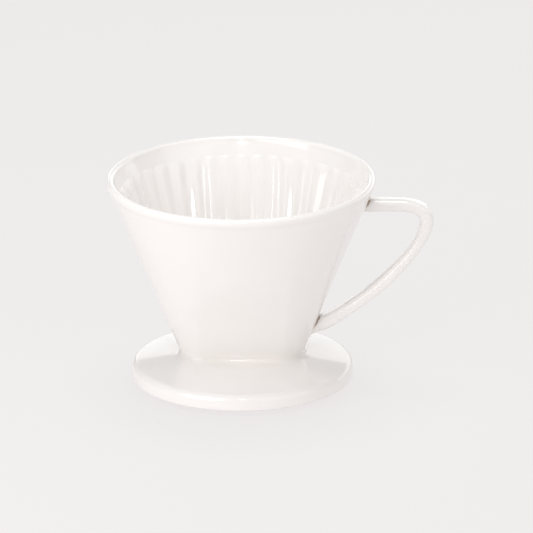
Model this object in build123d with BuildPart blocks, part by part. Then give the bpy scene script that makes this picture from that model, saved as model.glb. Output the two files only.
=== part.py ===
from build123d import *
from math import atan, cos, pi, radians, sin
import os

os.makedirs("parts", exist_ok=True)

# A porcelain filter funnel on a saucer flange, with a strap handle.
# Millimetres. +Z is up and +X points towards the handle. The origin is the centre of
# the locating ring's foot, which is the face that the dripper stands on.

# Heights above the foot
FLANGE_EDGE_Z = 4.0
PLATE_UNDERSIDE_Z = 10.0
FLOOR_TOP_Z = 14.5
RIM_Z = 104.5

# Funnel: an oblong at the plate's underside that opens to a circle at the rim
RIM_RADIUS = 65.0
RIM_WALL = 3.7
BASE_HALF_LENGTH = 27.4
BASE_HALF_WIDTH = 9.0
BASE_WALL = 4.25
RIM_ROUND = RIM_WALL / 2
RIM_ROUND_Z = RIM_Z - RIM_ROUND
# The oblong's straight sides open into rim arcs of this half angle, front and back
FLAT_HALF_ANGLE = 24.0
END_SECTORS = 4

# Nearness that counts as touching
TOUCH = 0.01

# Drain holes in a row along the floor
DRAIN_COUNT = 3
DRAIN_DIAMETER = 4.5
DRAIN_PITCH = 13.0
DRAIN_EDGE_ROUND = 0.6

# Inner ribs, which hold the paper off the wall
RIBS_EACH_SIDE_OF_CENTRE = 3
FLAT_RIB_STEP = 7.5
END_RIB_GAPS = 14
RIB_LOW_Z = 24.0
RIB_LOW_WIDTH = 1.9
RIB_LOW_HEIGHT = 0.7
RIB_LOW_CREST_ROUND = 0.6
RIB_FULL_Z = 92.0
RIB_FULL_WIDTH = 5.6
RIB_FULL_HEIGHT = 1.45
RIB_CREST_ROUND = 2.0
RIB_END_Z = 98.0
RIB_END_WIDTH = 2.6
RIB_END_HEIGHT = 0.3
# How far a rib's base is taken into the wall before it is trimmed to the wall's face
RIB_SINK = 0.15

# Saucer flange: a shallow inverted pan
FLANGE_RADIUS = 53.7
FLANGE_CROWN_Z = 14.8
FLANGE_CROWN_RADIUS = 28.0
FLANGE_CROWN_ROUND = 40.0
FLANGE_CORNER_Z = 11.3
FLANGE_SHOULDER_ROUND = 4.0
FLANGE_EDGE_ROUND = 1.0
FLANGE_LIP = 4.2
FLANGE_INNER_ROUND = 3.0
NECK_ROUND = 2.6
# Mean height of the flange's top where the funnel's neck stands
NECK_Z = 14.5

# Locating ring, which drops inside a mug or jug
RING_OUTER_RADIUS = 36.0
RING_THICKNESS = 3.8
RING_FOOT_ROUND = 1.2
RING_ROOT = 1.0
RING_ROOT_TAPER = 0.5

# Strap handle
HANDLE_WIDTH = 9.0
HANDLE_EDGE_ROUND = 1.6
SLIP_THICKNESS = 0.6
SLIP_BEAD = 1.6
SLIP_REACH = 2.5
BEAD_TAPER = 42.0
# Middle and length of each handle root, measured on the wall
UPPER_ROOT_Z = 90.3
UPPER_ROOT_LENGTH = 6.3
LOWER_ROOT_Z = 29.3
LOWER_ROOT_LENGTH = 7.5


def low_point(angle, half_length, half_width):
    """Point of the oblong that lies on the same straight line of the wall as this rim angle.

    It comes with the oblong's outward direction there.
    """
    straight = half_length - half_width
    end_half_angle = 90 - FLAT_HALF_ANGLE
    from_side = (angle + 90) % 180 - 90
    end_sign = 1 if cos(radians(angle)) >= 0 else -1
    if abs(from_side) <= end_half_angle:
        turn = radians(from_side * 90 / end_half_angle)
        outward = Vector(end_sign * cos(turn), end_sign * sin(turn))
        return Vector(end_sign * straight, 0) + outward * half_width, outward
    along = end_sign * straight * (90 - abs(from_side)) / FLAT_HALF_ANGLE
    outward = Vector(0, 1 if sin(radians(angle)) > 0 else -1)
    return Vector(along, 0) + outward * half_width, outward


def funnel_blank(half_length, half_width, rim_radius):
    """Solid funnel from the plate's underside to the rim's round: oblong below, circular above.

    Straight lines join the oblong to the rim, sector by sector: one sector for the front,
    one for the back, and END_SECTORS for each end.
    """
    end_step = (180 - 2 * FLAT_HALF_ANGLE) / END_SECTORS
    stops = [-90 - FLAT_HALF_ANGLE]
    for half_turn in (-90, 90):
        stops.append(half_turn + FLAT_HALF_ANGLE)
        for step in range(END_SECTORS):
            stops.append(stops[-1] + end_step)
    low_plane = Vector(0, 0, PLATE_UNDERSIDE_Z)
    high_plane = Vector(0, 0, RIM_ROUND_Z)
    low_edges = []
    high_edges = []
    for first, last in zip(stops, stops[1:]):
        low_points = []
        high_points = []
        for angle in (first, (first + last) / 2, last):
            low_points.append(low_point(angle, half_length, half_width)[0] + low_plane)
            outward = Vector(cos(radians(angle)), sin(radians(angle)))
            high_points.append(outward * rim_radius + high_plane)
        if last - first > end_step:
            low_edges.append(Edge.make_line(low_points[0], low_points[2]))
        else:
            low_edges.append(Edge.make_three_point_arc(*low_points))
        high_edges.append(Edge.make_three_point_arc(*high_points))
    sides = [Face.make_surface_from_curves(low, high) for low, high in zip(low_edges, high_edges)]
    caps = [Face(Wire(low_edges)), Face(Wire(high_edges))]
    return Solid(Shell(sides + caps))


outside = funnel_blank(BASE_HALF_LENGTH, BASE_HALF_WIDTH, RIM_RADIUS)
hollow = funnel_blank(
    BASE_HALF_LENGTH - BASE_WALL, BASE_HALF_WIDTH - BASE_WALL, RIM_RADIUS - RIM_WALL
)
slip_outside = funnel_blank(
    BASE_HALF_LENGTH + SLIP_THICKNESS, BASE_HALF_WIDTH + SLIP_THICKNESS, RIM_RADIUS + SLIP_THICKNESS
)

# Funnel wall, open at both ends, with a rounded rim
with BuildPart() as cone_wall:
    add(outside)
    add(hollow, mode=Mode.SUBTRACT)
    with BuildSketch(Plane.XZ):
        with BuildLine():
            CenterArc((RIM_RADIUS - RIM_ROUND, RIM_ROUND_Z), RIM_ROUND, 0, 180)
            Line((RIM_RADIUS - RIM_WALL, RIM_ROUND_Z), (RIM_RADIUS, RIM_ROUND_Z))
        make_face()
    revolve(axis=Axis.Z)
cone_wall.part.label = "cone_wall"
export_step(cone_wall.part, "parts/cone_wall.step")

# Floor that closes the funnel, with the drain holes
with BuildPart() as cone_floor:
    add(hollow)
    split(bisect_by=Plane.XY.offset(FLOOR_TOP_Z), keep=Keep.BOTTOM)
    with Locations((0, 0, FLOOR_TOP_Z)):
        with GridLocations(DRAIN_PITCH, 0, DRAIN_COUNT, 1):
            Hole(radius=DRAIN_DIAMETER / 2)
    drain_edges = edges().filter_by(GeomType.CIRCLE).filter_by(
        lambda edge: abs(edge.radius - DRAIN_DIAMETER / 2) < TOUCH
    )
    fillet(drain_edges, radius=DRAIN_EDGE_ROUND)
cone_floor.part.label = "cone_floor"
export_step(cone_floor.part, "parts/cone_floor.step")


def wall_line(angle):
    """Feet of one straight line of the inner wall, at the plate's underside and at the rim.

    Each end is a point and the wall's outward direction there, seen from above.
    """
    low, low_out = low_point(angle, BASE_HALF_LENGTH - BASE_WALL, BASE_HALF_WIDTH - BASE_WALL)
    high_out = Vector(cos(radians(angle)), sin(radians(angle)))
    high = high_out * (RIM_RADIUS - RIM_WALL) + Vector(0, 0, RIM_ROUND_Z)
    return low + Vector(0, 0, PLATE_UNDERSIDE_Z), low_out, high, high_out


def between(first, last, share):
    """Vector at this share of the way from the first to the last."""
    return first + (last - first) * share


# Ribs: close and even on the flat front and back, and wider apart round the two ends
rib_angles = []
end_start = RIBS_EACH_SIDE_OF_CENTRE * FLAT_RIB_STEP
end_rib_step = (180 - 2 * end_start) / END_RIB_GAPS
for half_turn in (-90, 90):
    for step in range(-RIBS_EACH_SIDE_OF_CENTRE, RIBS_EACH_SIDE_OF_CENTRE + 1):
        rib_angles.append(half_turn + step * FLAT_RIB_STEP)
    for step in range(1, END_RIB_GAPS):
        rib_angles.append(half_turn + end_start + step * end_rib_step)

# Each rib is a ridge with a rounded crest. It widens upwards and then runs out into the wall.
# Its base is sunk a little, and only the part inside the hollow is kept.
rib_stages = [
    (RIB_LOW_Z, RIB_LOW_WIDTH, RIB_LOW_HEIGHT, RIB_LOW_CREST_ROUND),
    (RIB_FULL_Z, RIB_FULL_WIDTH, RIB_FULL_HEIGHT, RIB_CREST_ROUND),
    (RIB_END_Z, RIB_END_WIDTH, RIB_END_HEIGHT, RIB_CREST_ROUND),
]

with BuildPart() as filter_ribs:
    for angle in rib_angles:
        low, low_out, high, high_out = wall_line(angle)
        along = (high - low).normalized()
        for height_z, width, height, crest_round in rib_stages:
            share = (height_z - PLATE_UNDERSIDE_Z) / (RIM_ROUND_Z - PLATE_UNDERSIDE_Z)
            outward = between(low_out, high_out, share).normalized()
            foot = between(low, high, share)
            half_base = width / 2 * (1 + RIB_SINK / height)
            with BuildSketch(Plane(origin=foot, x_dir=along.cross(outward), z_dir=along)):
                with BuildLine():
                    Polyline((-half_base, -RIB_SINK), (half_base, -RIB_SINK), (0, height), close=True)
                make_face()
                fillet(vertices().group_by(Axis.Y)[-1], radius=crest_round)
        loft(ruled=True)
    add(hollow, mode=Mode.INTERSECT)
filter_ribs.part.label = "filter_ribs"
export_step(filter_ribs.part, "parts/filter_ribs.step")

# Locating ring, whose tapered root is let into the flange's underside
with BuildPart() as locating_ring:
    with BuildSketch(Plane.XZ):
        with BuildLine():
            ring_inner = RING_OUTER_RADIUS - RING_THICKNESS
            ring_top = PLATE_UNDERSIDE_Z + RING_ROOT
            Polyline(
                (ring_inner, ring_top),
                (ring_inner, 0),
                (RING_OUTER_RADIUS, 0),
                (RING_OUTER_RADIUS, PLATE_UNDERSIDE_Z),
                (RING_OUTER_RADIUS - RING_ROOT_TAPER, ring_top),
                close=True,
            )
        make_face()
        inner_foot_corner = vertices().group_by(Axis.Y)[0].sort_by(Axis.X)[0]
        fillet(inner_foot_corner, radius=RING_FOOT_ROUND)
    revolve(axis=Axis.Z)
locating_ring.part.label = "locating_ring"
export_step(locating_ring.part, "parts/locating_ring.step")

# Saucer flange: revolved pan with a rounded shoulder, pierced for the funnel and grooved for the ring
with BuildPart() as saucer_flange:
    with BuildSketch(Plane.XZ):
        with BuildLine():
            inner_edge = FLANGE_RADIUS - FLANGE_LIP
            Polyline(
                (0, PLATE_UNDERSIDE_Z),
                (inner_edge, PLATE_UNDERSIDE_Z),
                (inner_edge, FLANGE_EDGE_Z),
                (FLANGE_RADIUS, FLANGE_EDGE_Z),
                (FLANGE_RADIUS, FLANGE_CORNER_Z),
                (FLANGE_CROWN_RADIUS, FLANGE_CROWN_Z),
                (0, FLANGE_CROWN_Z),
                close=True,
            )
        make_face()
        outer_corners = vertices().group_by(Axis.X)[-1].sort_by(Axis.Y)
        inner_corners = vertices().group_by(Axis.X)[-2].sort_by(Axis.Y)
        crown_corner = vertices().group_by(Axis.X)[-3][0]
        fillet(crown_corner, radius=FLANGE_CROWN_ROUND)
        fillet(outer_corners[-1], radius=FLANGE_SHOULDER_ROUND)
        fillet(outer_corners[0], radius=FLANGE_EDGE_ROUND)
        fillet(inner_corners[0], radius=FLANGE_EDGE_ROUND)
        fillet(inner_corners[-1], radius=FLANGE_INNER_ROUND)
    revolve(axis=Axis.Z)
    add(outside, mode=Mode.SUBTRACT)
    add(locating_ring.part, mode=Mode.SUBTRACT)
saucer_flange.part.label = "saucer_flange"
export_step(saucer_flange.part, "parts/saucer_flange.step")

# Slip fillet that joins the funnel's neck to the flange: a concave bead swept round the neck
neck_share = (NECK_Z - PLATE_UNDERSIDE_Z) / (RIM_ROUND_Z - PLATE_UNDERSIDE_Z)
neck_half_length = BASE_HALF_LENGTH + (RIM_RADIUS - BASE_HALF_LENGTH) * neck_share
neck_half_width = BASE_HALF_WIDTH + (RIM_RADIUS - BASE_HALF_WIDTH) * neck_share
wall_slope = (RIM_RADIUS - BASE_HALF_LENGTH) / (RIM_ROUND_Z - PLATE_UNDERSIDE_Z)
wall_lean = atan(wall_slope)
bead_centre = NECK_ROUND * (wall_slope + 1 / cos(wall_lean))

with BuildPart() as neck_fillet:
    with BuildLine(Plane.XY.offset(NECK_Z)):
        neck_straight = neck_half_length - neck_half_width
        Line((-neck_straight, -neck_half_width), (neck_straight, -neck_half_width))
        CenterArc((neck_straight, 0), neck_half_width, -90, 180)
        Line((neck_straight, neck_half_width), (-neck_straight, neck_half_width))
        CenterArc((-neck_straight, 0), neck_half_width, 90, 180)
    with BuildSketch(Plane(origin=(0, -neck_half_width, NECK_Z), x_dir=(0, -1, 0), z_dir=(1, 0, 0))):
        with BuildLine():
            low = (bead_centre, 0)
            middle = (bead_centre - NECK_ROUND * sin(pi / 3), NECK_ROUND * (1 - cos(pi / 3)))
            high_out = bead_centre - NECK_ROUND * cos(wall_lean)
            high = (high_out, NECK_ROUND * (1 + sin(wall_lean)))
            ThreePointArc(low, middle, high)
            Polyline(
                high,
                (-NECK_ROUND, NECK_ROUND),
                (-NECK_ROUND, -NECK_ROUND),
                (bead_centre + 2 * NECK_ROUND, -NECK_ROUND),
                low,
            )
        make_face()
    sweep()
    add(outside, mode=Mode.SUBTRACT)
    add(saucer_flange.part, mode=Mode.SUBTRACT)
neck_fillet.part.label = "neck_fillet"
export_step(neck_fillet.part, "parts/neck_fillet.step")

# Strap handle: a level run under the rim, a tight bend and a long sagging return.
# Points are (distance from the axis, height above the foot).
OUTER_TOP_START = (56.0, 93.4)
OUTER_TOP_END = (81.5, 92.5)
OUTER_BEND = (90.2, 89.1)
OUTER_SIDE = (93.0, 82.0)
OUTER_RETURN = [(87.8, 69.4), (72.8, 50.9), (57.3, 38.2), (43.8, 28.9)]
OUTER_ROOT = (27.0, 24.2)
INNER_TOP_START = (54.0, 87.4)
INNER_TOP_END = (79.0, 87.2)
INNER_BEND = (84.3, 85.4)
INNER_SIDE = (86.0, 80.6)
INNER_RETURN = [(81.2, 69.0), (66.0, 52.3), (51.8, 41.3)]
INNER_ROOT = (33.0, 31.6)

with BuildPart() as strap:
    with BuildSketch(Plane.XZ):
        with BuildLine():
            Line(OUTER_TOP_START, OUTER_TOP_END)
            Spline(OUTER_TOP_END, OUTER_BEND, OUTER_SIDE, tangents=((1, -0.04), (0, -1)))
            Spline(OUTER_SIDE, *OUTER_RETURN, OUTER_ROOT, tangents=((0, -1), (-1, -0.1)))
            Line(OUTER_ROOT, INNER_ROOT)
            Spline(INNER_ROOT, *INNER_RETURN[::-1], INNER_SIDE, tangents=((1, 0.4), (0, 1)))
            Spline(INNER_SIDE, INNER_BEND, INNER_TOP_END, tangents=((0, 1), (-1, 0)))
            Line(INNER_TOP_END, INNER_TOP_START)
            Line(INNER_TOP_START, OUTER_TOP_START)
        make_face()
    extrude(amount=HANDLE_WIDTH / 2, both=True)
    root_edge = (Vector(*OUTER_ROOT) - Vector(*INNER_ROOT)).length + HANDLE_EDGE_ROUND
    long_edges = edges().filter_by(
        lambda edge: abs(abs(edge.center().Y) - HANDLE_WIDTH / 2) < TOUCH and edge.length > root_edge
    )
    fillet(long_edges, radius=HANDLE_EDGE_ROUND)

with BuildPart() as handle:
    add(strap.part)
    add(slip_outside, mode=Mode.SUBTRACT)
handle.part.label = "handle"
export_step(handle.part, "parts/handle.step")


def slip_joint(centre_z, root_length):
    """Slip layer between the wall and a handle root, spreading into a bead round the root."""
    share = (centre_z - PLATE_UNDERSIDE_Z) / (RIM_ROUND_Z - PLATE_UNDERSIDE_Z)
    centre_x = BASE_HALF_LENGTH + (RIM_RADIUS - BASE_HALF_LENGTH) * share
    outward = Vector(cos(wall_lean), 0, -sin(wall_lean))
    root_plane = Plane(origin=(centre_x, 0, centre_z), x_dir=(0, 1, 0), z_dir=outward)
    bead_round = HANDLE_EDGE_ROUND + SLIP_BEAD
    with BuildPart() as joint:
        with BuildSketch(root_plane):
            RectangleRounded(HANDLE_WIDTH + 2 * SLIP_BEAD, root_length + 2 * SLIP_BEAD, bead_round)
        extrude(amount=SLIP_BEAD, taper=BEAD_TAPER)
        extrude(faces().sort_by(Axis(root_plane.origin, outward))[0], amount=SLIP_REACH)
        add(outside, mode=Mode.SUBTRACT)
        add(handle.part, mode=Mode.SUBTRACT)
    return joint.part


upper_handle_joint = slip_joint(UPPER_ROOT_Z, UPPER_ROOT_LENGTH)
upper_handle_joint.label = "upper_handle_joint"
export_step(upper_handle_joint, "parts/upper_handle_joint.step")

lower_handle_joint = slip_joint(LOWER_ROOT_Z, LOWER_ROOT_LENGTH)
lower_handle_joint.label = "lower_handle_joint"
export_step(lower_handle_joint, "parts/lower_handle_joint.step")
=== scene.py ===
import math

import bpy
import numpy as np
from mathutils import Matrix, Vector


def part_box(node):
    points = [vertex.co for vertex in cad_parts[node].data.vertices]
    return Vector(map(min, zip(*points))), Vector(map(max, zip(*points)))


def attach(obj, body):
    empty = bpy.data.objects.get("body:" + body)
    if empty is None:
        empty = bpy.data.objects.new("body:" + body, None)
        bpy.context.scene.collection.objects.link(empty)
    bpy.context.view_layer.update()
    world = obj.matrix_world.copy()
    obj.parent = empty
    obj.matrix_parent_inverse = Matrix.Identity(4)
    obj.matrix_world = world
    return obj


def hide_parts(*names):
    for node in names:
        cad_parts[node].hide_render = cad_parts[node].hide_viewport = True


# A glazed porcelain filter funnel on a saucer flange, with a strap handle.
# Lengths below are in millimetres. Meshes are converted to metres when they are made.
MM = 0.001

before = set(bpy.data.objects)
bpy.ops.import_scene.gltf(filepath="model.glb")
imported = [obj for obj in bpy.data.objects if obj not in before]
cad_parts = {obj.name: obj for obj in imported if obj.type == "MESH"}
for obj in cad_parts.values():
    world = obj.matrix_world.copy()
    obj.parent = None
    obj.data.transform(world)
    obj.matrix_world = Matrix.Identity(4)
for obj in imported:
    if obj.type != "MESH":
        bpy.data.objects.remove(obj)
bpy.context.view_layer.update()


# ---------------------------------------------------------------- sizes from the frame

# Points this near to a level are on it
LEVEL_TOLERANCE = 0.01
# How much narrower the rim is than the CAD's box, so that its lip stays inside the box
LIP_ROOM = 0.08


def box_mm(node):
    """Low and high corners of a CAD node's box."""
    low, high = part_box(node)
    return np.array(low) / MM, np.array(high) / MM


def node_points(node):
    return np.array([v.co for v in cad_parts[node].data.vertices]) / MM


def widest_at(node, height):
    """Greatest |x| and |y| of a CAD node's points at this height."""
    points = node_points(node)
    level = points[np.abs(points[:, 2] - height) < LEVEL_TOLERANCE]
    return np.abs(level[:, 0]).max(), np.abs(level[:, 1]).max()


wall_low, wall_high = box_mm("cone_wall")
floor_low, floor_high = box_mm("cone_floor")
flange_low, flange_high = box_mm("saucer_flange")

PLATE_Z = wall_low[2]
RIM_Z = wall_high[2]
RIM_RADIUS = wall_high[1] - LIP_ROOM
FLOOR_Z = floor_high[2]
EDGE_Z = flange_low[2]
FLANGE_RADIUS = flange_high[0]
RING_RADIUS = box_mm("locating_ring")[1][0]
HANDLE_REACH, HANDLE_HALF_WIDTH, HANDLE_TOP_Z = box_mm("handle")[1]
OUTER_LENGTH, OUTER_WIDTH = widest_at("cone_wall", PLATE_Z)
INNER_LENGTH, INNER_WIDTH = widest_at("cone_floor", floor_low[2])

# Shapes that the frame's boxes don't give
RIM_WALL = 3.7
RIM_ROUND = RIM_WALL / 2
RIM_ROUND_Z = RIM_Z - RIM_ROUND
FLAT_HALF_ANGLE = 24.0

# Stations round the wall, the flange, the neck and the ring
AROUND = 480


# ---------------------------------------------------------------- mesh helpers

def make_object(name, points, faces, values=None):
    """Smooth-shaded mesh from points in millimetres, with an optional value at each point."""
    mesh = bpy.data.meshes.new(name)
    mesh.from_pydata((np.asarray(points) * MM).tolist(), [], faces)
    mesh.update()
    # The values are glaze pooling with painted shade in hollows and seams, read by the material
    if values is not None:
        attribute = mesh.attributes.new("glaze_pool_and_shade", "FLOAT", "POINT")
        attribute.data.foreach_set("value", np.asarray(values, np.float32))
    mesh.polygons.foreach_set("use_smooth", [True] * len(mesh.polygons))
    piece = bpy.data.objects.new(name, mesh)
    bpy.context.scene.collection.objects.link(piece)
    return piece


def loop_faces(stations, profile):
    """Quads of a closed tube: a closed profile repeated round a closed loop of stations."""
    faces = []
    for station in range(stations):
        here = station * profile
        there = (station + 1) % stations * profile
        for step in range(profile):
            ahead = (step + 1) % profile
            faces.append((here + step, there + step, there + ahead, here + ahead))
    return faces


def make_loop(name, sections, values=None):
    """Piece from sections[station][profile point], closed both ways."""
    sections = np.asarray(sections, float)
    stations, profile, _ = sections.shape
    if values is not None:
        values = np.asarray(values, float).reshape(-1)
    points = sections.reshape(-1, 3)
    piece = make_object(name, points, loop_faces(stations, profile), values)
    if signed_volume(piece.data) < 0:
        piece.data.flip_normals()
    return piece


def signed_volume(mesh):
    """Volume that is negative if the faces point inwards."""
    mesh.calc_loop_triangles()
    total = 0.0
    for triangle in mesh.loop_triangles:
        a, b, c = (mesh.vertices[i].co for i in triangle.vertices)
        total += a.dot(b.cross(c))
    return total / 6


def smooth_step(value, start, end):
    """0 before start, 1 after end, and smooth between them."""
    share = np.clip((np.asarray(value, float) - start) / (end - start), 0, 1)
    return share * share * (3 - 2 * share)


def arc(centre, radius, first, last, count):
    """Points (r, z) on an arc from the first angle to the last, in degrees."""
    turns = np.radians(np.linspace(first, last, count))
    return np.c_[centre[0] + radius * np.cos(turns), centre[1] + radius * np.sin(turns)]


def bend(start, corner, end, shares):
    """Curve from start to end that is tangent to both lines through the corner."""
    t = np.asarray(shares)[:, None]
    start, corner, end = (np.asarray(p, float)[None] for p in (start, corner, end))
    return (1 - t) ** 2 * start + 2 * t * (1 - t) * corner + t**2 * end


# ---------------------------------------------------------------- the funnel's surface

def low_outline(angle, half_length, half_width):
    """Point of the oblong on the same straight line of the wall as this rim angle."""
    straight = half_length - half_width
    end_half_angle = 90 - FLAT_HALF_ANGLE
    turn = np.radians(angle)
    from_side = np.abs((angle + 90) % 180 - 90)
    end_turn = np.radians(np.minimum(from_side, end_half_angle) * 90 / end_half_angle)
    along_flat = np.clip((90 - from_side) / FLAT_HALF_ANGLE, 0, 1)
    x = np.where(np.cos(turn) >= 0, 1.0, -1.0) * (straight * along_flat + half_width * np.cos(end_turn))
    y = np.where(np.sin(turn) >= 0, 1.0, -1.0) * half_width * np.sin(end_turn)
    return x, y


def funnel_point(angle, share, half_length, half_width, rim_radius):
    """Point of a funnel surface: share 0 is the plate's underside, 1 the start of the rim's round."""
    low_x, low_y = low_outline(angle, half_length, half_width)
    turn = np.radians(angle)
    x = low_x + (rim_radius * np.cos(turn) - low_x) * share
    y = low_y + (rim_radius * np.sin(turn) - low_y) * share
    z = PLATE_Z + (RIM_ROUND_Z - PLATE_Z) * share + 0 * x
    return np.stack([x, y, z], -1)


def outer_point(angle, share):
    return funnel_point(angle, share, OUTER_LENGTH, OUTER_WIDTH, RIM_RADIUS)


def inner_point(angle, share):
    return funnel_point(angle, share, INNER_LENGTH, INNER_WIDTH, RIM_RADIUS - RIM_WALL)


def surface_normal(surface, angle, share):
    """Unit normal that points away from the axis."""
    angle_step = 0.05
    share_step = 0.001
    along = surface(angle + angle_step, share) - surface(angle - angle_step, share)
    up = surface(angle, share + share_step) - surface(angle, share - share_step)
    normal = np.cross(along, up)
    return normal / np.linalg.norm(normal, axis=-1, keepdims=True)


def share_at(z):
    """Share of the way up the funnel's surface at this height."""
    return (z - PLATE_Z) / (RIM_ROUND_Z - PLATE_Z)


angles = np.arange(AROUND) * 360.0 / AROUND


# ---------------------------------------------------------------- inner ribs

RIBS_EACH_SIDE_OF_CENTRE = 3
FLAT_RIB_STEP = 7.5
END_RIB_GAPS = 14
RIB_SAMPLES = 20
RIB_TOP_Z = 95.0
RIB_TOP_ROUND = 5.0
# How far above RIB_TOP_Z the ribs' rounded tops run out, and the lining ends
RIB_RUN_OUT = 1.6
LINING_RUN_OUT = 2.2
# The ribs grow from their foot's height to their full height between these levels
RIB_FOOT_HEIGHT = 0.5
RIB_HEIGHT = 1.0
RIB_GROWTH_START_Z = 20
RIB_GROWTH_END_Z = 80
# Below 1, this makes the crests broader than the valleys
RIB_CREST_POWER = 0.8
# Glaze pooling in the valleys between ribs, darkened partly as painted shade
RIB_POOL_AND_SHADE = 0.12
# The lining's body inside the wall, and how far the wall's face stands back behind it
LINING_DEPTH = 0.9
LINING_RECESS = 0.35


def rib_angles():
    """Rim angles of the ribs: even on the flat front and back, wider apart round the ends."""
    found = []
    end_start = RIBS_EACH_SIDE_OF_CENTRE * FLAT_RIB_STEP
    end_step = (180 - 2 * end_start) / END_RIB_GAPS
    for half_turn in (-90, 90):
        for step in range(-RIBS_EACH_SIDE_OF_CENTRE, RIBS_EACH_SIDE_OF_CENTRE + 1):
            found.append(half_turn + step * FLAT_RIB_STEP)
        for step in range(1, END_RIB_GAPS):
            found.append(half_turn + end_start + step * end_step)
    return np.array(found)


def rib_stations(samples):
    """Rim angles that divide each gap between two ribs alike, with the phase of the ribs' wave."""
    centres = np.append(rib_angles(), rib_angles()[0] + 360)
    found = []
    phases = []
    for first, last in zip(centres, centres[1:]):
        shares = np.arange(samples) / samples
        found.extend(first + (last - first) * shares)
        phases.extend(shares)
    return np.array(found), np.array(phases)


def build_ribs():
    """Lining of soft ribs: a wave that fades into the wall at its top and foot."""
    stations, phases = rib_stations(RIB_SAMPLES)
    foot_end = 30
    top_start = RIB_TOP_Z - 6
    heights = np.r_[
        np.linspace(FLOOR_Z + 3.5, foot_end, 12)[:-1],
        np.linspace(foot_end, top_start, 40)[:-1],
        np.linspace(top_start, RIB_TOP_Z + LINING_RUN_OUT, 22),
    ]
    wave = (0.5 + 0.5 * np.cos(2 * np.pi * phases)) ** RIB_CREST_POWER
    round_end = np.clip((RIB_TOP_Z + RIB_RUN_OUT - heights) / RIB_TOP_ROUND, 0, 1)
    rise = np.sqrt(1 - (1 - round_end) ** 2) ** 1.4
    rise = rise * smooth_step(heights, FLOOR_Z + 3, FLOOR_Z + 14)
    grown = smooth_step(heights, RIB_GROWTH_START_Z, RIB_GROWTH_END_Z)
    crest = RIB_FOOT_HEIGHT + (RIB_HEIGHT - RIB_FOOT_HEIGHT) * grown
    # The lining starts and ends just behind the wall's face, and is just proud of it between
    above_foot = smooth_step(heights, FLOOR_Z + 4, FLOOR_Z + 7)
    below_top = smooth_step(-heights, -RIB_TOP_Z - 2, -RIB_TOP_Z)
    sink = 0.04 - 0.06 * above_foot * below_top
    back_rows = np.array([0, len(heights) // 2, len(heights) - 1])
    sections = []
    pool_and_shade_rows = []
    for angle, lift in zip(stations, wave):
        share = share_at(heights)
        face = inner_point(angle, share)
        normal = surface_normal(inner_point, angle, share)
        height = crest * rise * lift - sink
        front = face - normal * height[:, None]
        back = face[back_rows] + normal[back_rows] * LINING_DEPTH
        sections.append(np.r_[front, back[::-1]])
        # Darker in the valleys: glaze pooling with painted shade
        pool_and_shade_rows.append(np.r_[RIB_POOL_AND_SHADE * (1 - lift) * rise, np.zeros(len(back_rows))])
    return make_loop("filter_ribs_glazed", sections, pool_and_shade_rows)


# ---------------------------------------------------------------- funnel wall

LIP_PROUD = 0.35
# The wall's mesh starts this far above the plate's underside
WALL_START = 0.8
# Inside, the wall's foot curves this far up the wall and across the floor
FOOT_REACH = 2.6
# Glaze pooling in the inner corner of the wall's foot, darkened partly as painted shade
FOOT_POOL_AND_SHADE = 0.6


def lip_shape(below):
    """Share of the lip's full height, by distance below the rim's round."""
    return smooth_step(-below, -4.2, -1.2) * smooth_step(below, -0.5, 1.6)


def wall_foot(angle, last_point):
    """Curve from the wall's inside down to the floor, and two points that close the section."""
    shares = np.linspace(0, 1, 8)[1:]
    corner = inner_point(angle, share_at(FLOOR_Z - 0.06))
    inward = -surface_normal(inner_point, angle, share_at(FLOOR_Z))
    inward = np.array([inward[0], inward[1], 0.0])
    inward = inward / np.linalg.norm(inward)
    curve = bend(last_point, corner, corner + inward * FOOT_REACH, shares)
    under = curve[-1] - np.array([0, 0, 2.0])
    base = inner_point(angle, share_at(PLATE_Z + WALL_START))
    return np.r_[curve, [under], [base]]


def build_wall():
    """Wall with a rounded rim and a slight lip outside. Inside, its foot turns into the floor."""
    lip_start = RIM_ROUND_Z - 7
    outer_heights = np.r_[
        np.linspace(PLATE_Z + WALL_START, lip_start, 60),
        np.linspace(lip_start, RIM_ROUND_Z, 15)[1:],
    ]
    band_end = RIB_TOP_Z - 4
    inner_heights = np.r_[
        np.linspace(RIM_ROUND_Z, band_end, 14)[1:],
        np.linspace(band_end, FLOOR_Z + FOOT_REACH, 40)[1:],
    ]
    above_foot = smooth_step(inner_heights, FLOOR_Z + 7, FLOOR_Z + 12)
    below_band = smooth_step(-inner_heights, -RIB_TOP_Z + 1, -RIB_TOP_Z + 5)
    recess = LINING_RECESS * above_foot * below_band
    round_turns = np.radians(np.linspace(0, 180, 17)[1:-1])
    up = np.array([0, 0, 1.0])
    sections = []
    pool_and_shade_rows = []
    for angle in angles:
        outward = np.array([math.cos(math.radians(angle)), math.sin(math.radians(angle)), 0.0])
        outer = outer_point(angle, share_at(outer_heights))
        lip = LIP_PROUD * lip_shape(RIM_ROUND_Z - outer_heights)
        outer = outer + outward * lip[:, None]
        centre = outward * (RIM_RADIUS - RIM_ROUND) + RIM_ROUND_Z * up
        rim = centre + RIM_ROUND * (
            np.cos(round_turns)[:, None] * outward + np.sin(round_turns)[:, None] * up
        )
        inner = inner_point(angle, share_at(inner_heights))
        inner = inner + surface_normal(inner_point, angle, share_at(inner_heights)) * recess[:, None]
        sections.append(np.r_[outer, rim, inner, wall_foot(angle, inner[-1])])
        # Pooled glaze, partly painted shade, in the corner where the wall's foot meets the floor
        pool_and_shade = np.zeros(len(sections[-1]))
        foot_start = len(outer) + len(rim) + len(inner) - 4
        pool_and_shade[foot_start:] = FOOT_POOL_AND_SHADE
        pool_and_shade_rows.append(pool_and_shade)
    return make_loop("cone_wall_glazed", sections, pool_and_shade_rows)


# ---------------------------------------------------------------- flange, neck and ring

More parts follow.
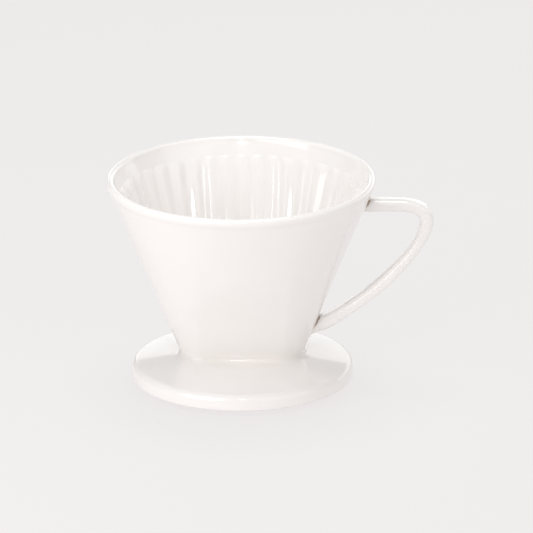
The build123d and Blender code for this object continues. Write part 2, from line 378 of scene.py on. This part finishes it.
CROWN_Z = 14.8
CROWN_FLAT_RADIUS = 22.0
CROWN_DROP = 3.4
CROWN_START_RADIUS = 37.5
SHOULDER_ROUND = 3.6
LIP_WIDTH = 4.2
EDGE_ROUND = 1.1
PAN_ROUND = 3.0
NECK_ROUND = 2.6
NECK_POINTS = 15
# Level inside the neck fillet, where the flange's top meets the wall
NECK_Z = CROWN_Z - 0.5
# How far the flange's top and underside go into the wall
TOP_INSET = 1.2
UNDERSIDE_INSET = 1.4
RING_WALL = 3.8
RING_ROOT = 1.6
RING_TAPER = 0.3
RING_MIDDLE_Z = 5.0


def crown_height(radius):
    """Top of the flange: level at the neck, then falling ever faster to its edge."""
    share = np.clip((radius - CROWN_FLAT_RADIUS) / (FLANGE_RADIUS - CROWN_FLAT_RADIUS), 0, 1)
    return CROWN_Z - CROWN_DROP * share**1.5


def flange_profile():
    """Points (r, z) from the crown over the shoulder and the edge to the hollow underside."""
    shoulder_x = FLANGE_RADIUS - SHOULDER_ROUND
    slope = (crown_height(shoulder_x) - crown_height(shoulder_x + 0.1)) / 0.1
    lean = math.atan(slope)
    start_x = shoulder_x + SHOULDER_ROUND * math.sin(lean)
    shoulder_z = crown_height(start_x) - SHOULDER_ROUND * math.cos(lean)
    edge_z = EDGE_Z + EDGE_ROUND
    inner_edge = FLANGE_RADIUS - LIP_WIDTH
    crown_radii = np.linspace(CROWN_START_RADIUS, start_x, 16)[:-1]
    return np.r_[
        np.c_[crown_radii, crown_height(crown_radii)],
        arc((shoulder_x, shoulder_z), SHOULDER_ROUND, 90 - math.degrees(lean), 0, 20),
        [[FLANGE_RADIUS, (shoulder_z + edge_z) / 2]],
        arc((FLANGE_RADIUS - EDGE_ROUND, edge_z), EDGE_ROUND, 0, -90, 8),
        arc((inner_edge + EDGE_ROUND, edge_z), EDGE_ROUND, -90, -180, 8),
        arc((inner_edge - PAN_ROUND, PLATE_Z - PAN_ROUND), PAN_ROUND, 0, 90, 9),
    ]


def inset(point, depth):
    """Point moved this far towards the axis, seen from above."""
    return point * (1 - depth / np.linalg.norm(point))


def build_flange():
    """Shallow inverted pan: crown, rounded shoulder, edge, and the hollow underside."""
    profile = flange_profile()
    shares = np.linspace(0, 1, 9)[:-1][:, None]
    sections = []
    for angle in angles:
        turn = math.radians(angle)
        outward = np.array([math.cos(turn), math.sin(turn)])
        neck = inset(outer_point(angle, share_at(NECK_Z))[:2], TOP_INSET)
        foot = inset(outer_point(angle, share_at(PLATE_Z))[:2], UNDERSIDE_INSET)
        top = neck + (outward * profile[0, 0] - neck) * shares
        top = np.c_[top, crown_height(np.linalg.norm(top, axis=1))]
        under = foot + (outward * profile[-1, 0] - foot) * shares
        under = np.c_[under, np.full(len(under), PLATE_Z)]
        middle = np.c_[profile[:, :1] * outward, profile[:, 1]]
        sections.append(np.r_[top, middle, under[::-1]])
    return make_loop("saucer_flange_glazed", sections)


def neck_corner(angle):
    """Share and point where the wall's outside meets the flange's top."""
    share = share_at(NECK_Z)
    for _ in range(4):
        corner = outer_point(angle, share)
        share = share_at(crown_height(np.linalg.norm(corner[:2])))
    return share, outer_point(angle, share)


def build_neck():
    """Concave slip fillet, tangent to the wall above and to the crown outside."""
    sections = []
    # Pooled glaze in the concave fillet, darkest in its middle, partly painted shade
    pool_and_shade = np.r_[0, 0, np.sin(np.linspace(0, math.pi, NECK_POINTS)), 0, 0, 0]
    for angle in angles:
        share, corner = neck_corner(angle)
        up = outer_point(angle, share + 0.01) - corner
        up = up / np.linalg.norm(up)
        normal = surface_normal(outer_point, angle, share)
        out = np.array([normal[0], normal[1], 0.0])
        out = out / np.linalg.norm(out)
        opening = math.acos(np.clip(np.dot(up, out), -1, 1))
        reach = NECK_ROUND / math.tan(opening / 2)
        start = corner + up * reach
        end = corner + out * reach
        end[2] = crown_height(np.linalg.norm(end[:2]))
        curve = bend(start, corner, end, np.linspace(0, 1, NECK_POINTS))
        # Both edges run on a little way and sink under the surfaces that they meet
        runs = np.array([2.0, 1.0])[:, None]
        sinks = np.array([0.12, 0.03])
        above = start + up * runs - normal * sinks[:, None]
        beyond = end + out * runs[::-1]
        beyond[:, 2] = crown_height(np.linalg.norm(beyond[:, :2], axis=1)) - sinks[::-1]
        inside = corner - normal * 1.2 - np.array([0, 0, 1.2])
        sections.append(np.r_[above, curve, beyond, [inside]])
    return make_loop("neck_fillet_glazed", sections, [pool_and_shade] * AROUND)


def build_ring():
    """Ring that drops into the mug, with a rounded foot and a soft root under the flange."""
    inner = RING_RADIUS - RING_WALL
    neck = RING_RADIUS - RING_TAPER
    root_z = PLATE_Z - RING_ROOT
    top_z = PLATE_Z + 0.02
    shares = np.linspace(0, 1, 7)
    profile = np.r_[
        bend((neck + RING_ROOT, top_z), (neck, PLATE_Z), (neck, root_z), shares),
        [[RING_RADIUS - 0.1, RING_MIDDLE_Z]],
        arc((RING_RADIUS - EDGE_ROUND, EDGE_ROUND), EDGE_ROUND, 0, -90, 8),
        arc((inner + EDGE_ROUND, EDGE_ROUND), EDGE_ROUND, -90, -180, 8),
        [[inner + 0.1, RING_MIDDLE_Z]],
        bend((inner, root_z), (inner, PLATE_Z), (inner - RING_ROOT, top_z), shares),
        [[inner - RING_ROOT - 0.5, PLATE_Z + 0.6], [RING_RADIUS + RING_ROOT + 0.2, PLATE_Z + 0.6]],
    ]
    turns = np.radians(angles)
    outward = np.stack([np.cos(turns), np.sin(turns)], -1)
    across = profile[None, :, :1] * outward[:, None, :]
    heights = np.broadcast_to(profile[None, :, 1:], (AROUND, len(profile), 1))
    return make_loop("locating_ring_glazed", np.concatenate([across, heights], axis=2))


# ---------------------------------------------------------------- floor with its drain holes

def add_outline(curve, points):
    """Closed outline through points in millimetres."""
    spline = curve.splines.new("POLY")
    spline.points.add(len(points) - 1)
    for place, (x, y) in zip(spline.points, points):
        place.co = (x * MM, y * MM, 0, 1)
    spline.use_cyclic_u = True


DRAIN_RADIUS = 2.25
DRAIN_PITCH = 13.0
DRAIN_POINTS = 64
FLOOR_POINTS = 96
FLOOR_ROUND = 0.7
# How far the floor's outline is inside the wall's outside, along and across
FLOOR_INSET = (1.2, 1.0)
# How far the floor's plate shows below the flange's underside
FLOOR_DROP = 0.8


def build_floor():
    """Oblong floor with rounded drain holes. Its outer part is inside the wall."""
    low_z = PLATE_Z - FLOOR_DROP
    curve = bpy.data.curves.new("floor_outline", "CURVE")
    curve.dimensions = "2D"
    curve.fill_mode = "BOTH"
    turns = np.arange(FLOOR_POINTS) * 360 / FLOOR_POINTS
    half_length = OUTER_LENGTH - FLOOR_INSET[0] - FLOOR_ROUND
    half_width = OUTER_WIDTH - FLOOR_INSET[1] - FLOOR_ROUND
    x, y = low_outline(turns, half_length, half_width)
    add_outline(curve, list(zip(x, y)))
    hole = np.radians(np.arange(DRAIN_POINTS) * 360 / DRAIN_POINTS)
    radius = DRAIN_RADIUS + FLOOR_ROUND
    for step in (-1, 0, 1):
        hole_x = step * DRAIN_PITCH + radius * np.cos(hole)
        add_outline(curve, list(zip(hole_x, radius * np.sin(hole))))
    curve.extrude = ((FLOOR_Z - low_z) / 2 - FLOOR_ROUND) * MM
    curve.bevel_depth = FLOOR_ROUND * MM
    curve.bevel_resolution = 5
    source = bpy.data.objects.new("floor_outline", curve)
    bpy.context.scene.collection.objects.link(source)
    bpy.context.view_layer.update()
    mesh = bpy.data.meshes.new_from_object(source.evaluated_get(bpy.context.evaluated_depsgraph_get()))
    bpy.data.objects.remove(source)
    mesh.transform(Matrix.Translation((0, 0, (FLOOR_Z + low_z) / 2 * MM)))
    mesh.name = "cone_floor_glazed"
    piece = bpy.data.objects.new("cone_floor_glazed", mesh)
    bpy.context.scene.collection.objects.link(piece)
    mesh.shade_smooth()
    return piece


# ---------------------------------------------------------------- handle

# Outer and inner outlines of the strap, from the high outer corner of the handle's box
HANDLE_OUTER = [
    (-34.9, 0.1), (-24.0, -0.25), (-11.5, -0.7), (-2.8, -4.1), (-0.05, -11.2), (-5.2, -23.8),
    (-20.2, -42.3), (-35.7, -55.0), (-49.2, -64.3), (-58.0, -67.6), (-62.3, -68.7),
]
HANDLE_INNER = [
    (-36.0, -5.85), (-25.0, -5.95), (-14.0, -6.0), (-8.7, -7.8), (-7.0, -12.6), (-11.8, -24.2),
    (-27.0, -40.9), (-41.2, -51.9), (-51.8, -58.1), (-60.0, -61.6),
]
HANDLE_STEPS = 170
HANDLE_CORNER = 12
HANDLE_AROUND = 4 * HANDLE_CORNER
HANDLE_ROUND = 2.4
# Most of a section's half thickness that its rounded corners may take
HANDLE_MOST_ROUND = 0.92
HANDLE_SMOOTHING = 24
# The inner outline has this many points for each one of the outer outline
INNER_FINENESS = 40
# Points on each span of a smooth curve before it is divided evenly
SPAN_POINTS = 40


def spline_through(values, count):
    """Smooth curve through points, by Catmull-Rom spans, evenly spaced along its length."""
    values = np.asarray(values, float)
    padded = np.r_[[2 * values[0] - values[1]], values, [2 * values[-1] - values[-2]]]
    dense = []
    for i in range(len(values) - 1):
        p0, p1, p2, p3 = padded[i:i + 4]
        for t in np.arange(SPAN_POINTS) / SPAN_POINTS:
            cubic = -p0 + 3 * p1 - 3 * p2 + p3
            square = 2 * p0 - 5 * p1 + 4 * p2 - p3
            dense.append(0.5 * (2 * p1 + (p2 - p0) * t + square * t**2 + cubic * t**3))
    dense.append(values[-1])
    dense = np.array(dense)
    length = np.r_[0, np.cumsum(np.linalg.norm(np.diff(dense, axis=0), axis=1))]
    even = np.linspace(0, length[-1], count)
    return np.stack([np.interp(even, length, dense[:, k]) for k in range(2)], -1)


def handle_rings():
    """Sections of the strap from its upper root to its lower one: soft rounded rectangles."""
    corner = np.array([HANDLE_REACH, HANDLE_TOP_Z])
    outer = spline_through(HANDLE_OUTER, HANDLE_STEPS) + corner
    inner = spline_through(HANDLE_INNER, INNER_FINENESS * HANDLE_STEPS) + corner
    facing = [inner[np.argmin(np.linalg.norm(inner - point, axis=1))] for point in outer]
    sections = np.concatenate([outer, np.array(facing)], axis=1)
    for _ in range(HANDLE_SMOOTHING):
        sections[1:-1] = 0.25 * sections[:-2] + 0.5 * sections[1:-1] + 0.25 * sections[2:]
    rings = []
    for outer_x, outer_z, inner_x, inner_z in sections:
        across = np.array([outer_x - inner_x, outer_z - inner_z])
        half = np.linalg.norm(across) / 2
        across = across / (2 * half)
        middle = np.array([outer_x + inner_x, outer_z + inner_z]) / 2
        rounding = min(HANDLE_ROUND, HANDLE_MOST_ROUND * half)
        ring = []
        for quarter, (side_sign, depth_sign) in enumerate(((1, 1), (-1, 1), (-1, -1), (1, -1))):
            turns = math.pi / 2 * (quarter + np.linspace(0, 1, HANDLE_CORNER))
            side = side_sign * (half - rounding) + rounding * np.cos(turns)
            depth = depth_sign * (HANDLE_HALF_WIDTH - rounding) + rounding * np.sin(turns)
            x = middle[0] + across[0] * side
            z = middle[1] + across[1] * side
            ring.append(np.stack([x, depth, z], -1))
        rings.append(np.concatenate(ring))
    return np.array(rings)


def build_handle():
    """Strap whose two ends are inside the wall."""
    rings = handle_rings()
    points = rings.reshape(-1, 3)
    faces = []
    for row in range(len(rings) - 1):
        for step in range(HANDLE_AROUND):
            ahead = (step + 1) % HANDLE_AROUND
            low = row * HANDLE_AROUND
            high = low + HANDLE_AROUND
            faces.append((low + step, low + ahead, high + ahead, high + step))
    faces.append(tuple(range(HANDLE_AROUND))[::-1])
    last = (len(rings) - 1) * HANDLE_AROUND
    faces.append(tuple(last + i for i in range(HANDLE_AROUND)))
    piece = make_object("handle_glazed", points, faces, np.zeros(len(points)))
    if signed_volume(piece.data) < 0:
        piece.data.flip_normals()
    return piece


# ---------------------------------------------------------------- handle joints

JOINT_BEAD = 2.2
JOINT_POINTS = 9
# Rings of the strap that are searched for the place where it leaves the wall
ROOT_RINGS = 60
# Above each root the pool value goes this far past 1, where painted shade darkens the seam
SEAM_SHADE_DEPTH = 1.5


def wall_at(y, z):
    """The +X side of the wall's outside at this y and height: its x and its rim angle."""
    tries = np.linspace(-60, 60, 241)
    points = outer_point(tries, share_at(z))
    return np.interp(y, points[:, 1], points[:, 0]), np.interp(y, points[:, 1], tries)


def wall_x(y, z):
    return wall_at(y, z)[0]


def root_point(line):
    """Where one line of the strap comes out of the wall, and the first ring outside."""
    near_wall = line[:ROOT_RINGS]
    clear = np.array([point[0] - wall_x(point[1], point[2]) for point in near_wall])
    first = int(np.argmax(clear > 0))
    mix = clear[first] / (clear[first] - clear[first - 1])
    return line[first] + (line[first - 1] - line[first]) * mix, first


def build_joint(name, at_start):
    """Concave slip bead round a handle root, tangent to the strap and to the wall."""
    rings = handle_rings()
    if not at_start:
        rings = rings[::-1]
    shares = np.linspace(0, 1, JOINT_POINTS)
    sections = []
    pool_and_shade_rows = []
    for step in range(HANDLE_AROUND):
        line = rings[:, step]
        root, first = root_point(line)
        ahead = line[first + 2] - root
        ahead = ahead / np.linalg.norm(ahead)
        normal = surface_normal(outer_point, wall_at(root[1], root[2])[1], share_at(root[2]))
        out = root - rings[first].mean(axis=0)
        out = out - normal * np.dot(out, normal)
        out = out / np.linalg.norm(out)
        start = root + ahead * JOINT_BEAD
        end = root + out * JOINT_BEAD
        end[0] = wall_x(end[1], end[2])
        curve = bend(start, root, end, shares)
        # Both edges run on a little way and sink under the surfaces that they meet
        sunk = start + ahead * 0.8 - out * 0.06
        spread = end + out * 0.8
        spread[0] = wall_x(spread[1], spread[2]) - 0.06
        core = root - normal * 0.8 - out * 0.8
        sections.append(np.r_[[sunk], curve, [spread], [core]])
        # Pooled glaze in the bead is partly painted shade, and the upper side of the root gets a
        # painted shadow seam
        upward = np.dot(out, (0, 0, 1))
        dark = 1 + SEAM_SHADE_DEPTH * smooth_step(upward, -0.3, 0.5)
        pool_and_shade_rows.append(np.r_[0, dark * np.sin(math.pi * shares), 0, 0])
    return make_loop(name, sections, pool_and_shade_rows)


# ---------------------------------------------------------------- materials

def noise(tree, coordinates, scale, detail):
    """Noise with about this many waves to the metre."""
    made = tree.nodes.new("ShaderNodeTexNoise")
    made.inputs["Scale"].default_value = scale
    made.inputs["Detail"].default_value = detail
    made.inputs["Roughness"].default_value = 0.5
    tree.links.new(coordinates, made.inputs["Vector"])
    return made.outputs["Fac"]


def ramp(tree, value, low, high, low_out, high_out):
    """Smooth change from one value to another as the input goes from low to high."""
    made = tree.nodes.new("ShaderNodeMapRange")
    made.interpolation_type = "SMOOTHSTEP"
    made.inputs["From Min"].default_value = low
    made.inputs["From Max"].default_value = high
    made.inputs["To Min"].default_value = low_out
    made.inputs["To Max"].default_value = high_out
    tree.links.new(value, made.inputs["Value"])
    return made.outputs["Result"]


def scaled_sum(tree, value, factor, base):
    """Value times factor plus base."""
    made = tree.nodes.new("ShaderNodeMath")
    made.operation = "MULTIPLY_ADD"
    made.inputs[1].default_value = factor
    tree.links.new(value, made.inputs[0])
    tree.links.new(base, made.inputs[2])
    return made.outputs[0]


def mix_colors(tree, factor, first, second):
    """Mix of two colours, each of which is a fixed colour or another node's output."""
    made = tree.nodes.new("ShaderNodeMix")
    made.data_type = "RGBA"
    for index, value in ((6, first), (7, second)):
        if isinstance(value, tuple):
            made.inputs[index].default_value = value
        else:
            tree.links.new(value, made.inputs[index])
    tree.links.new(factor, made.inputs[0])
    return made.outputs[2]


GLAZE = (0.93, 0.902, 0.882, 1)
GLAZE_WARM = (0.915, 0.877, 0.850, 1)
# Warmer, darker glaze where it pools in hollows, partly painted shade there
GLAZE_POOL_AND_SHADE = (0.84, 0.78, 0.73, 1)
# Painted shade in the crease above each handle root
SEAM_SHADE = (0.30, 0.20, 0.14, 1)
SPECK = (0.55, 0.48, 0.40, 1)
BISQUE = (0.72, 0.67, 0.60, 1)
BISQUE_ROUGHNESS = 0.75
# Height of the glaze's ripples, in metres
RIPPLE_HEIGHT = 0.00004


def glaze_color(tree, place):
    """Faint clouding; warmer and darker where the glaze pools in hollows, partly painted shade; painted
    shade in the seams over the handle roots; fine specks.
    """
    cloud = noise(tree, place, 38.0, 3.0)
    color = mix_colors(tree, ramp(tree, cloud, 0.35, 0.75, 0.0, 0.55), GLAZE, GLAZE_WARM)
    attribute = tree.nodes.new("ShaderNodeAttribute")
    attribute.attribute_name = "glaze_pool_and_shade"
    pool_and_shade = attribute.outputs["Fac"]
    # Warmer, darker glaze where the pool value is high: glaze pooling in hollows, with painted shade
    # there too
    color = mix_colors(tree, ramp(tree, pool_and_shade, 0.0, 1.0, 0.0, 0.5), color, GLAZE_POOL_AND_SHADE)
    # Painted shade: pool values over 1 darken the crease above each handle root towards dark brown
    color = mix_colors(tree, ramp(tree, pool_and_shade, 1.1, 2.1, 0.0, 0.9), color, SEAM_SHADE)
    specks = tree.nodes.new("ShaderNodeTexVoronoi")
    specks.inputs["Scale"].default_value = 260.0
    tree.links.new(place, specks.inputs["Vector"])
    speck = ramp(tree, specks.outputs["Distance"], 0.035, 0.06, 0.22, 0.0)
    return mix_colors(tree, speck, color, SPECK)


def glaze_bump(tree, place):
    """Slow ripples in the glaze, with a finer orange peel on top."""
    ripple = noise(tree, place, 55.0, 1.5)
    peel = noise(tree, place, 420.0, 2.0)
    bump = tree.nodes.new("ShaderNodeBump")
    bump.inputs["Strength"].default_value = 1.0
    bump.inputs["Distance"].default_value = RIPPLE_HEIGHT
    tree.links.new(scaled_sum(tree, peel, 0.06, ripple), bump.inputs["Height"])
    return bump.outputs["Normal"]


def bare_share(tree, place, foot_height):
    """1 on the unglazed foot and 0 above it, with a slightly uneven edge."""
    split = tree.nodes.new("ShaderNodeSeparateXYZ")
    tree.links.new(place, split.inputs[0])
    level = scaled_sum(tree, noise(tree, place, 300.0, 2.0), -0.0006, split.outputs["Z"])
    return ramp(tree, level, foot_height * MM, (foot_height + 0.25) * MM, 1.0, 0.0)


def porcelain(name, foot_height=None):
    """Glazed porcelain, which is left bare up to the foot's height if one is given."""
    material = bpy.data.materials.new(name)
    material.use_nodes = True
    tree = material.node_tree
    shader = tree.nodes["Principled BSDF"]
    place = tree.nodes.new("ShaderNodeTexCoord").outputs["Object"]
    color = glaze_color(tree, place)
    rough = ramp(tree, noise(tree, place, 120.0, 4.0), 0.3, 0.7, 0.10, 0.16)
    shader.inputs["IOR"].default_value = 1.5
    shader.inputs["Coat Weight"].default_value = 0.6
    shader.inputs["Coat Roughness"].default_value = 0.03
    if foot_height is not None:
        bare = bare_share(tree, place, foot_height)
        color = mix_colors(tree, bare, color, BISQUE)
        made = tree.nodes.new("ShaderNodeMix")
        made.inputs[3].default_value = BISQUE_ROUGHNESS
        tree.links.new(bare, made.inputs[0])
        tree.links.new(rough, made.inputs[2])
        rough = made.outputs[0]
        shader.inputs["Coat Weight"].default_value = 0.0
    tree.links.new(color, shader.inputs["Base Color"])
    tree.links.new(rough, shader.inputs["Roughness"])
    tree.links.new(glaze_bump(tree, place), shader.inputs["Normal"])
    return material


# ---------------------------------------------------------------- assembly

BARE_FOOT_HEIGHT = 0.9

glaze = porcelain("glazed_porcelain")
foot_glaze = porcelain("porcelain_with_bare_foot", BARE_FOOT_HEIGHT)

pieces = {
    "cone_wall": build_wall(),
    "filter_ribs": build_ribs(),
    "cone_floor": build_floor(),
    "saucer_flange": build_flange(),
    "neck_fillet": build_neck(),
    "locating_ring": build_ring(),
    "handle": build_handle(),
    "upper_handle_joint": build_joint("upper_handle_joint_glazed", True),
    "lower_handle_joint": build_joint("lower_handle_joint_glazed", False),
}
for cad_node, piece in pieces.items():
    piece.data.materials.clear()
    piece.data.materials.append(foot_glaze if cad_node == "locating_ring" else glaze)
    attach(piece, "root")
    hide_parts(cad_node)


# ---------------------------------------------------------------- stage, light and camera

# Half the studio floor's size, in metres
STAGE_HALF_SIZE = 6.0
STAGE_COLOR = (0.15, 0.147, 0.147, 1)
# The studio floor glows a little, so that it is evenly pale
STAGE_GLOW_COLOR = (1.0, 0.971, 0.971, 1)
STAGE_GLOW = 0.708


def build_stage():
    """Large pale floor under the dripper."""
    mesh = bpy.data.meshes.new("studio_floor")
    half = STAGE_HALF_SIZE
    corners = [(-half, -half, 0), (half, -half, 0), (half, half, 0), (-half, half, 0)]
    mesh.from_pydata(corners, [], [(0, 1, 2, 3)])
    floor = bpy.data.objects.new("studio_floor", mesh)
    bpy.context.scene.collection.objects.link(floor)
    material = bpy.data.materials.new("studio_floor")
    material.use_nodes = True
    shader = material.node_tree.nodes["Principled BSDF"]
    shader.inputs["Base Color"].default_value = STAGE_COLOR
    shader.inputs["Roughness"].default_value = 0.9
    shader.inputs["Emission Color"].default_value = STAGE_GLOW_COLOR
    shader.inputs["Emission Strength"].default_value = STAGE_GLOW
    shader.inputs["Specular IOR Level"].default_value = 0.1
    mesh.materials.append(material)


# Long lens from the front, a little above. Distances are in metres and angles in degrees.
CAMERA_ELEVATION = 19.33
CAMERA_ROLL = 0.39
CAMERA_DISTANCE = 4.0
CAMERA_LENS = 559.3
# It looks at the axis, this many millimetres below the rim, and is then shifted right and up
CAMERA_BELOW_RIM = 50.5
CAMERA_RIGHT = 0.01198
CAMERA_UP = 0.00459


def build_camera():
    """Camera whose right side is rolled down a little."""
    elevation = math.radians(CAMERA_ELEVATION)
    roll = math.radians(CAMERA_ROLL)
    centre = Vector((0, 0, (RIM_Z - CAMERA_BELOW_RIM) * MM))
    back = Vector((0, -math.cos(elevation), math.sin(elevation)))
    right = Vector((1, 0, 0))
    up = Vector((0, math.sin(elevation), math.cos(elevation)))
    place = centre + back * CAMERA_DISTANCE + right * CAMERA_RIGHT + up * CAMERA_UP
    turned_right = right * math.cos(roll) - up * math.sin(roll)
    turned_up = right * math.sin(roll) + up * math.cos(roll)
    data = bpy.data.cameras.new("camera")
    data.sensor_width = 36
    data.lens = CAMERA_LENS
    data.clip_end = 50
    camera = bpy.data.objects.new("camera", data)
    rotation = Matrix((turned_right, turned_up, back)).transposed()
    camera.matrix_world = Matrix.Translation(place) @ rotation.to_4x4()
    bpy.context.scene.collection.objects.link(camera)
    bpy.context.scene.camera = camera


build_stage()
build_camera()

# Name, azimuth, elevation, distance, width, height and watts of each soft light.
# Azimuth 0 is on the camera's side, and 90 is on the handle's side. Lengths are in metres.
LIGHTS = [
    ("near_front_left", -42, 19, 0.6, 0.5, 0.36, 1.35),
    ("overhead", 180, 80, 1.0, 0.5, 0.5, 3.2),
    ("small_front", 0, 38.6, 1.6, 0.1, 0.3, 2.0),
    ("low_back", 155, 12, 1.6, 2.8, 0.5, 3.9),
    ("front_fill", 48, 27, 1.6, 1.6, 1.0, 3.0),
]
LIGHT_TARGET_HEIGHT = 0.06
WORLD_STRENGTH = 0.53


def soft_light(name, azimuth, elevation, distance, width, height, watts):
    """Rectangular light that faces the middle of the dripper."""
    target = Vector((0, 0, LIGHT_TARGET_HEIGHT))
    turn = math.radians(azimuth)
    rise = math.radians(elevation)
    level = math.cos(rise)
    away = Vector((math.sin(turn) * level, -math.cos(turn) * level, math.sin(rise)))
    data = bpy.data.lights.new(name, "AREA")
    data.shape = "RECTANGLE"
    data.size = width
    data.size_y = height
    data.energy = watts
    lamp = bpy.data.objects.new(name, data)
    lamp.location = target + away * distance
    lamp.rotation_euler = (-away).to_track_quat("-Z", "Y").to_euler()
    bpy.context.scene.collection.objects.link(lamp)


for light in LIGHTS:
    soft_light(*light)

world = bpy.data.worlds.new("studio")
world.use_nodes = True
background = world.node_tree.nodes["Background"]
background.inputs["Color"].default_value = (1, 1, 1, 1)
background.inputs["Strength"].default_value = WORLD_STRENGTH
bpy.context.scene.world = world
bpy.context.scene.view_settings.view_transform = "Standard"
